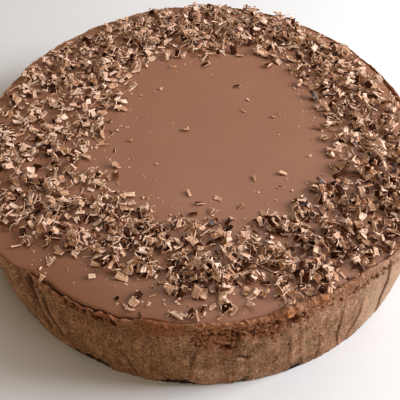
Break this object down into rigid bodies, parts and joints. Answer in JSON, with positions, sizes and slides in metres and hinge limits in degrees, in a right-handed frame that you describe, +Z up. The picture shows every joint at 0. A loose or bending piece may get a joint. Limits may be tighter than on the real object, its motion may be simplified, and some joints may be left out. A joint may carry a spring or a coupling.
{
  "type": "chocolate cheesecake",
  "caption": "Whole round chocolate cheesecake with a thin dark crumb base, a creased wall with a torn rim, and a smooth ganache top ringed with shaved chocolate flakes.",
  "frame": {"origin": "middle of the cake's underside, on the surface it stands on", "axes": "+Z up through the layers, -Y towards the side that faces the viewer, +X to the viewer's right"},
  "size_m": [0.2385, 0.238, 0.0539],
  "materials": {
    "crumb": "pressed dark biscuit crumb, coarse and dull",
    "filling": "baked chocolate filling, finely pored and dull",
    "ganache": "set chocolate ganache, smooth with a satin gloss, and shaved chocolate flakes"
  },
  "bodies": {
    "root": {"crumb_base": "crumb", "cheesecake": "filling", "ganache": "ganache"}
  },
  "joints": []
}
